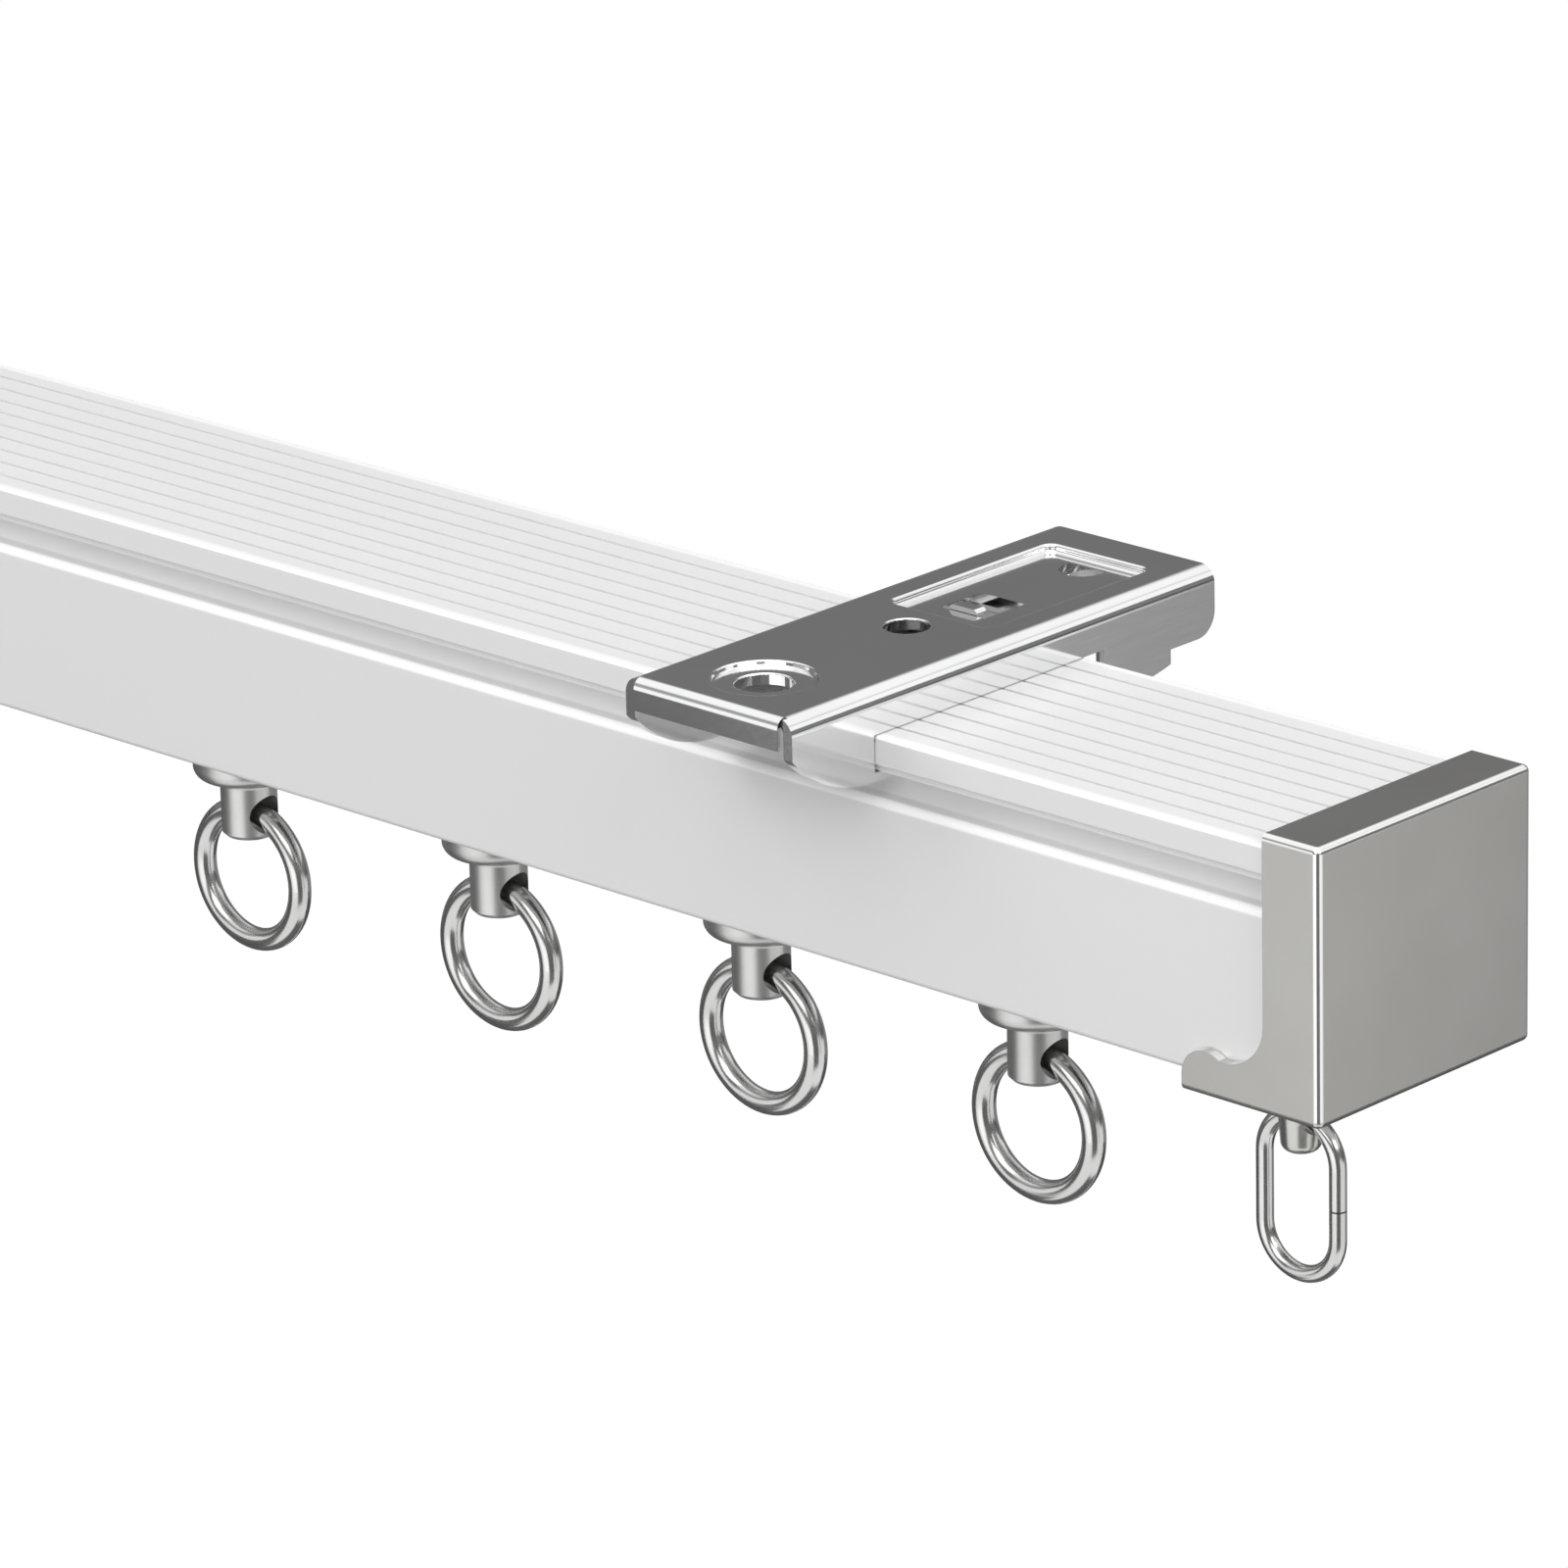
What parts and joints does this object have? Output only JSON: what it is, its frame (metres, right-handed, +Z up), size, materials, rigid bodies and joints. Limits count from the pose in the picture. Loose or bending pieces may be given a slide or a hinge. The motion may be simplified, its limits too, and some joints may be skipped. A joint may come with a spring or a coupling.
{
  "type": "curtain track",
  "caption": "Short ceiling-fixed curtain track: slotted square rail with ribbed top, clip-on plated brackets, end caps with hanging links and rolling ring runners.",
  "frame": {"origin": "in the ceiling plane, which is the top face of the brackets, at mid-length and over the rail's centre line, 1.3 mm from the middle of the two small centre holes", "axes": "+X along the rail towards the right-hand end cap, +Y from the brackets' front lips to their open rear ends, +Z up into the ceiling"},
  "size_m": [0.4, 0.0536, 0.0481],
  "materials": {
    "white_coating": "smooth satin powder coat on extruded aluminium",
    "satin_casting": "satin nickel plate on a fine-grained zinc casting",
    "plated_sheet": "bright plated steel sheet",
    "plated_wire": "bright polished plated steel",
    "dark_screw": "zinc-plated steel",
    "spring_steel": "bright spring wire",
    "white_plastic": "self-lubricating moulded plastic"
  },
  "bodies": {
    "track": {"rail": "white_coating", "cap_right": "satin_casting", "cap_left": "satin_casting", "cap_screws": "dark_screw", "bracket_right": "plated_sheet", "bracket_left": "plated_sheet", "spring_right": "spring_steel", "spring_left": "spring_steel"},
    "latch_right_slide": {"latch_right": "plated_sheet"},
    "link_right_swinging": {"link_right": "plated_wire"},
    "latch_left_slide": {"latch_left": "plated_sheet"},
    "link_left_swinging": {"link_left": "plated_wire"},
    "runner_1": {"runner_1_hanger": "white_plastic"},
    "runner_1_wheelset": {"runner_1_wheels": "white_plastic"},
    "runner_1_swivel": {"runner_1_eye": "plated_wire"},
    "runner_1_loop": {"runner_1_ring": "plated_wire"},
    "runner_2": {"runner_2_hanger": "white_plastic"},
    "runner_2_wheelset": {"runner_2_wheels": "white_plastic"},
    "runner_2_swivel": {"runner_2_eye": "plated_wire"},
    "runner_2_loop": {"runner_2_ring": "plated_wire"},
    "runner_3": {"runner_3_hanger": "white_plastic"},
    "runner_3_wheelset": {"runner_3_wheels": "white_plastic"},
    "runner_3_swivel": {"runner_3_eye": "plated_wire"},
    "runner_3_loop": {"runner_3_ring": "plated_wire"},
    "runner_4": {"runner_4_hanger": "white_plastic"},
    "runner_4_wheelset": {"runner_4_wheels": "white_plastic"},
    "runner_4_swivel": {"runner_4_eye": "plated_wire"},
    "runner_4_loop": {"runner_4_ring": "plated_wire"},
    "runner_5": {"runner_5_hanger": "white_plastic"},
    "runner_5_wheelset": {"runner_5_wheels": "white_plastic"},
    "runner_5_swivel": {"runner_5_eye": "plated_wire"},
    "runner_5_loop": {"runner_5_ring": "plated_wire"},
    "runner_6": {"runner_6_hanger": "white_plastic"},
    "runner_6_wheelset": {"runner_6_wheels": "white_plastic"},
    "runner_6_swivel": {"runner_6_eye": "plated_wire"},
    "runner_6_loop": {"runner_6_ring": "plated_wire"},
    "runner_7": {"runner_7_hanger": "white_plastic"},
    "runner_7_wheelset": {"runner_7_wheels": "white_plastic"},
    "runner_7_swivel": {"runner_7_eye": "plated_wire"},
    "runner_7_loop": {"runner_7_ring": "plated_wire"},
    "runner_8": {"runner_8_hanger": "white_plastic"},
    "runner_8_wheelset": {"runner_8_wheels": "white_plastic"},
    "runner_8_swivel": {"runner_8_eye": "plated_wire"},
    "runner_8_loop": {"runner_8_ring": "plated_wire"}
  },
  "joints": [
    {"name": "latch_right_release", "type": "slide", "parent": "track", "child": "latch_right_slide", "axis": [0, 1, 0], "range_m": [0, 0.0029], "stiffness_N_per_m": 1500, "springref_m": -0.001, "deforming": ["spring_right"]},
    {"name": "link_right_swing", "type": "hinge", "parent": "track", "child": "link_right_swinging", "pos_m": [0.1867, 0, -0.0327], "axis": [1, 0, 0], "range_deg": [-100, 100]},
    {"name": "latch_left_release", "type": "slide", "parent": "track", "child": "latch_left_slide", "axis": [0, 1, 0], "range_m": [0, 0.0029], "stiffness_N_per_m": 1500, "springref_m": -0.001, "deforming": ["spring_left"]},
    {"name": "link_left_swing", "type": "hinge", "parent": "track", "child": "link_left_swinging", "pos_m": [-0.1867, 0, -0.0327], "axis": [1, 0, 0], "range_deg": [-100, 100]},
    {"name": "runner_1_slide", "type": "slide", "parent": "track", "child": "runner_1", "axis": [1, 0, 0], "range_m": [-0.0165, 0.0165]},
    {"name": "runner_1_roll", "type": "hinge", "parent": "runner_1", "child": "runner_1_wheelset", "pos_m": [0.1576, 0, -0.01865], "axis": [0, 1, 0], "continuous": true},
    {"name": "runner_1_turn", "type": "hinge", "parent": "runner_1", "child": "runner_1_swivel", "pos_m": [0.1576, 0, -0.0272], "axis": [0, 0, 1], "continuous": true},
    {"name": "runner_1_swing", "type": "hinge", "parent": "runner_1_swivel", "child": "runner_1_loop", "pos_m": [0.1576, 0, -0.03445], "axis": [1, 0, 0], "range_deg": [-110, 110]},
    {"name": "runner_2_slide", "type": "slide", "parent": "track", "child": "runner_2", "axis": [1, 0, 0], "range_m": [-0.0165, 0.0165]},
    {"name": "runner_2_roll", "type": "hinge", "parent": "runner_2", "child": "runner_2_wheelset", "pos_m": [0.1255, 0, -0.01865], "axis": [0, 1, 0], "continuous": true},
    {"name": "runner_2_turn", "type": "hinge", "parent": "runner_2", "child": "runner_2_swivel", "pos_m": [0.1255, 0, -0.0272], "axis": [0, 0, 1], "continuous": true},
    {"name": "runner_2_swing", "type": "hinge", "parent": "runner_2_swivel", "child": "runner_2_loop", "pos_m": [0.1255, 0, -0.03445], "axis": [1, 0, 0], "range_deg": [-110, 110]},
    {"name": "runner_3_slide", "type": "slide", "parent": "track", "child": "runner_3", "axis": [1, 0, 0], "range_m": [-0.0165, 0.0165]},
    {"name": "runner_3_roll", "type": "hinge", "parent": "runner_3", "child": "runner_3_wheelset", "pos_m": [0.0934, 0, -0.01865], "axis": [0, 1, 0], "continuous": true},
    {"name": "runner_3_turn", "type": "hinge", "parent": "runner_3", "child": "runner_3_swivel", "pos_m": [0.0934, 0, -0.0272], "axis": [0, 0, 1], "continuous": true},
    {"name": "runner_3_swing", "type": "hinge", "parent": "runner_3_swivel", "child": "runner_3_loop", "pos_m": [0.0934, 0, -0.03445], "axis": [1, 0, 0], "range_deg": [-110, 110]},
    {"name": "runner_4_slide", "type": "slide", "parent": "track", "child": "runner_4", "axis": [1, 0, 0], "range_m": [-0.054, 0.0165]},
    {"name": "runner_4_roll", "type": "hinge", "parent": "runner_4", "child": "runner_4_wheelset", "pos_m": [0.0613, 0, -0.01865], "axis": [0, 1, 0], "continuous": true},
    {"name": "runner_4_turn", "type": "hinge", "parent": "runner_4", "child": "runner_4_swivel", "pos_m": [0.0613, 0, -0.0272], "axis": [0, 0, 1], "continuous": true},
    {"name": "runner_4_swing", "type": "hinge", "parent": "runner_4_swivel", "child": "runner_4_loop", "pos_m": [0.0613, 0, -0.03445], "axis": [1, 0, 0], "range_deg": [-110, 110]},
    {"name": "runner_5_slide", "type": "slide", "parent": "track", "child": "runner_5", "axis": [1, 0, 0], "range_m": [-0.0165, 0.054]},
    {"name": "runner_5_roll", "type": "hinge", "parent": "runner_5", "child": "runner_5_wheelset", "pos_m": [-0.0613, 0, -0.01865], "axis": [0, 1, 0], "continuous": true},
    {"name": "runner_5_turn", "type": "hinge", "parent": "runner_5", "child": "runner_5_swivel", "pos_m": [-0.0613, 0, -0.0272], "axis": [0, 0, 1], "continuous": true},
    {"name": "runner_5_swing", "type": "hinge", "parent": "runner_5_swivel", "child": "runner_5_loop", "pos_m": [-0.0613, 0, -0.03445], "axis": [1, 0, 0], "range_deg": [-110, 110]},
    {"name": "runner_6_slide", "type": "slide", "parent": "track", "child": "runner_6", "axis": [1, 0, 0], "range_m": [-0.0165, 0.0165]},
    {"name": "runner_6_roll", "type": "hinge", "parent": "runner_6", "child": "runner_6_wheelset", "pos_m": [-0.0934, 0, -0.01865], "axis": [0, 1, 0], "continuous": true},
    {"name": "runner_6_turn", "type": "hinge", "parent": "runner_6", "child": "runner_6_swivel", "pos_m": [-0.0934, 0, -0.0272], "axis": [0, 0, 1], "continuous": true},
    {"name": "runner_6_swing", "type": "hinge", "parent": "runner_6_swivel", "child": "runner_6_loop", "pos_m": [-0.0934, 0, -0.03445], "axis": [1, 0, 0], "range_deg": [-110, 110]},
    {"name": "runner_7_slide", "type": "slide", "parent": "track", "child": "runner_7", "axis": [1, 0, 0], "range_m": [-0.0165, 0.0165]},
    {"name": "runner_7_roll", "type": "hinge", "parent": "runner_7", "child": "runner_7_wheelset", "pos_m": [-0.1255, 0, -0.01865], "axis": [0, 1, 0], "continuous": true},
    {"name": "runner_7_turn", "type": "hinge", "parent": "runner_7", "child": "runner_7_swivel", "pos_m": [-0.1255, 0, -0.0272], "axis": [0, 0, 1], "continuous": true},
    {"name": "runner_7_swing", "type": "hinge", "parent": "runner_7_swivel", "child": "runner_7_loop", "pos_m": [-0.1255, 0, -0.03445], "axis": [1, 0, 0], "range_deg": [-110, 110]},
    {"name": "runner_8_slide", "type": "slide", "parent": "track", "child": "runner_8", "axis": [1, 0, 0], "range_m": [-0.0165, 0.0165]},
    {"name": "runner_8_roll", "type": "hinge", "parent": "runner_8", "child": "runner_8_wheelset", "pos_m": [-0.1576, 0, -0.01865], "axis": [0, 1, 0], "continuous": true},
    {"name": "runner_8_turn", "type": "hinge", "parent": "runner_8", "child": "runner_8_swivel", "pos_m": [-0.1576, 0, -0.0272], "axis": [0, 0, 1], "continuous": true},
    {"name": "runner_8_swing", "type": "hinge", "parent": "runner_8_swivel", "child": "runner_8_loop", "pos_m": [-0.1576, 0, -0.03445], "axis": [1, 0, 0], "range_deg": [-110, 110]}
  ],
  "couplings": [
    {"joint": "runner_1_roll", "follows": "runner_1_slide", "rad_per_m": 200},
    {"joint": "runner_2_roll", "follows": "runner_2_slide", "rad_per_m": 200},
    {"joint": "runner_3_roll", "follows": "runner_3_slide", "rad_per_m": 200},
    {"joint": "runner_4_roll", "follows": "runner_4_slide", "rad_per_m": 200},
    {"joint": "runner_5_roll", "follows": "runner_5_slide", "rad_per_m": 200},
    {"joint": "runner_6_roll", "follows": "runner_6_slide", "rad_per_m": 200},
    {"joint": "runner_7_roll", "follows": "runner_7_slide", "rad_per_m": 200},
    {"joint": "runner_8_roll", "follows": "runner_8_slide", "rad_per_m": 200}
  ]
}
